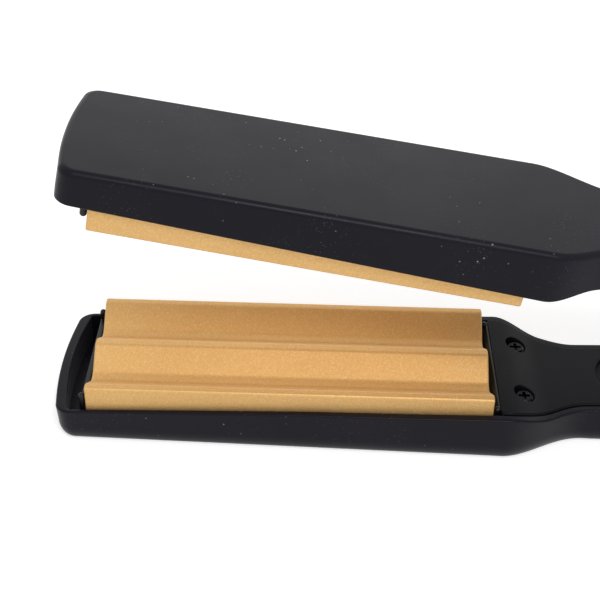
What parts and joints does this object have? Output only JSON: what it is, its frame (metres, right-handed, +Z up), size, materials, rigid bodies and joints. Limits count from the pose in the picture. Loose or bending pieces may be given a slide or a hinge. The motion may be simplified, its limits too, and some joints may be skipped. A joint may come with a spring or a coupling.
{
  "type": "hair waver",
  "caption": "Hand-held hair waver with two hinged paddle arms, meshing gold wave plates, slim handles, round push controls and a swivelling cord outlet.",
  "frame": {"origin": "on the resting surface, under the middle of the overall length and width, with the lower arm lying on its back", "axes": "+X from the tips toward the hinge and cord outlet, +Y across the arms, +Z up from the lower arm to the upper arm"},
  "size_m": [0.2722, 0.0412, 0.074],
  "materials": {
    "soft_touch_black": "soft-touch paint, fine grain",
    "moulded_black": "fine spark-eroded texture",
    "heat_proof_black": "smooth, slightly glossy",
    "gold_ceramic": "satin ceramic coat with fine metallic speckle",
    "heater_white": "film-wrapped heater",
    "sheet_steel": "bright sheet",
    "mica": "mica sheet",
    "screw_black": "black-coated steel",
    "lead_sleeve": "glass-fibre sleeved wire",
    "fuse_metal": "bright can",
    "bead_glass": "glass bead",
    "board_green": "solder resist",
    "switch_black": "moulded",
    "lens_red": "tinted clear plastic",
    "bright_steel": "ground",
    "button_black": "satin"
  },
  "bodies": {
    "lower_arm": {"lower_housing": "soft_touch_black", "lower_inner_cover": "moulded_black", "lower_plate_frame": "heat_proof_black", "lower_wave_plate": "gold_ceramic", "lower_heater": "heater_white", "lower_heater_clamp": "sheet_steel", "lower_insulator": "mica", "lower_cover_screws": "screw_black", "lower_leads": "lead_sleeve", "thermal_fuse": "fuse_metal", "thermistor": "bead_glass", "control_board": "board_green", "tact_switches": "switch_black", "indicator_lens": "lens_red", "hinge_pin": "bright_steel", "hinge_spring": "bright_steel"},
    "upper_arm": {"upper_housing": "soft_touch_black", "upper_inner_cover": "moulded_black", "upper_plate_frame": "heat_proof_black", "upper_wave_plate": "gold_ceramic", "upper_heater": "heater_white", "upper_heater_clamp": "sheet_steel", "upper_insulator": "mica", "upper_cover_screws": "screw_black", "upper_leads": "lead_sleeve", "hinge_caps": "moulded_black"},
    "power_button": {"power_button": "button_black"},
    "temp_up_button": {"temp_up_button": "button_black"},
    "temp_down_button": {"temp_down_button": "button_black"},
    "cord_sleeve": {"cord_sleeve": "moulded_black"}
  },
  "joints": [
    {"name": "arm_hinge", "type": "hinge", "parent": "lower_arm", "child": "upper_arm", "pos_m": [0.11909, 0, 0.01813], "axis": [0, 1, 0], "range_deg": [-9.95, 0], "stiffness_Nm_per_rad": 1.2, "springref_deg": 20.05},
    {"name": "power_button_press", "type": "slide", "parent": "lower_arm", "child": "power_button", "axis": [0, 0, -1], "range_m": [0, 0.0006], "stiffness_N_per_m": 600, "springref_m": -0.0006},
    {"name": "temp_up_button_press", "type": "slide", "parent": "lower_arm", "child": "temp_up_button", "axis": [0, 0, -1], "range_m": [0, 0.0006], "stiffness_N_per_m": 600, "springref_m": -0.0006},
    {"name": "temp_down_button_press", "type": "slide", "parent": "lower_arm", "child": "temp_down_button", "axis": [0, 0, -1], "range_m": [0, 0.0006], "stiffness_N_per_m": 600, "springref_m": -0.0006},
    {"name": "cord_swivel", "type": "hinge", "parent": "lower_arm", "child": "cord_sleeve", "pos_m": [0.1281, 0, 0.0078], "axis": [1, 0, 0], "continuous": true}
  ]
}
